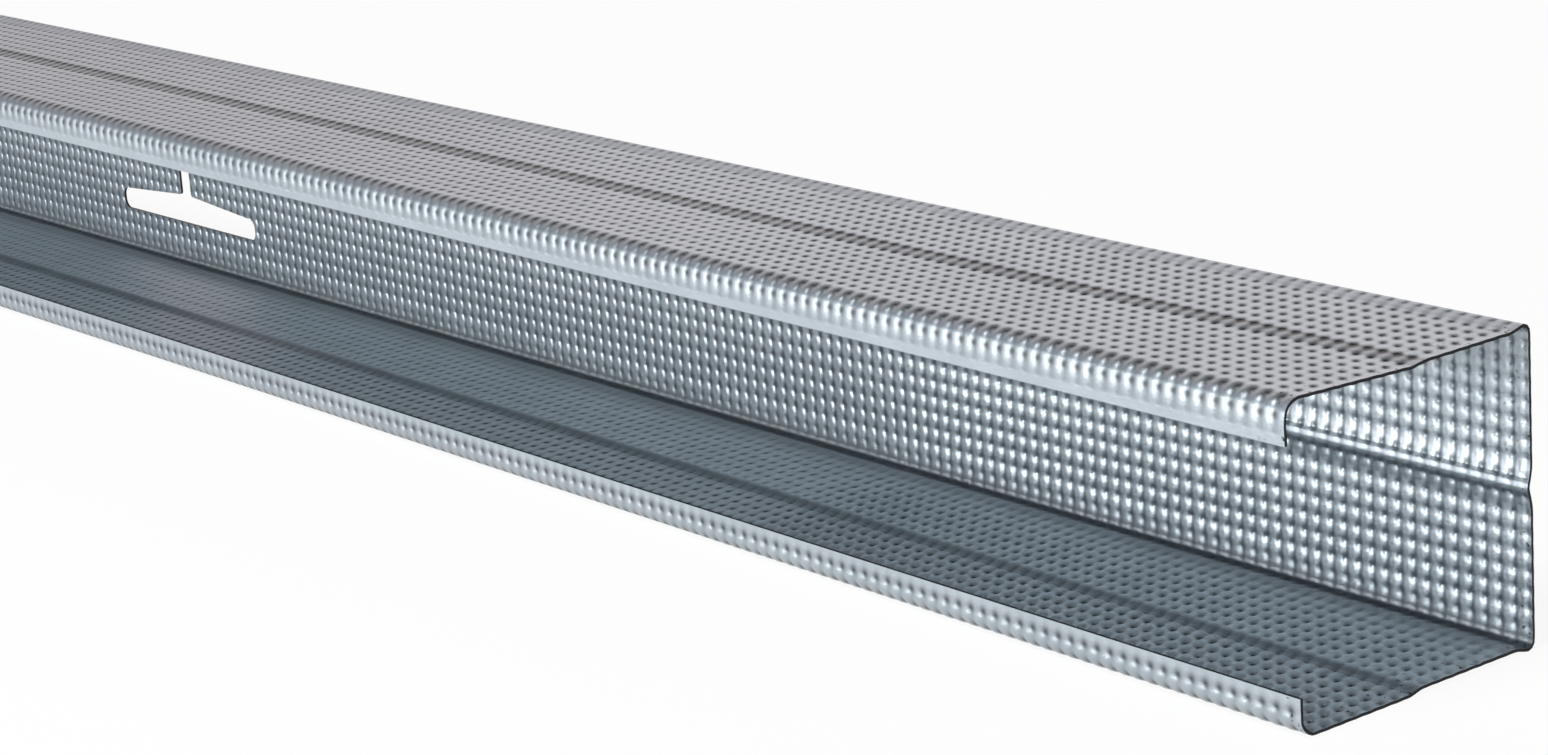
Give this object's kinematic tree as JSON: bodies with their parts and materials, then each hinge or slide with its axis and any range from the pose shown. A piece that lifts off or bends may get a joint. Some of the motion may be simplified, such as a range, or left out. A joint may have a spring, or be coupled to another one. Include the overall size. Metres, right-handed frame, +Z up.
{
  "type": "lipped c stud",
  "caption": "Galvanised dimpled steel wall stud: a lipped C-section with stepped flanges, a ribbed web and H-shaped service slots, for framing partition walls.",
  "frame": {"origin": "on the floor under the middle of the stud's box", "axes": "+X along the stud, +Y from the open side towards the web, +Z up"},
  "size_m": [2.6, 0.0496, 0.0488],
  "materials": {
    "galvanised_steel": "hot-dip galvanised, rolled with small dimples"
  },
  "bodies": {
    "root": {"c_stud": "galvanised_steel"}
  },
  "joints": []
}
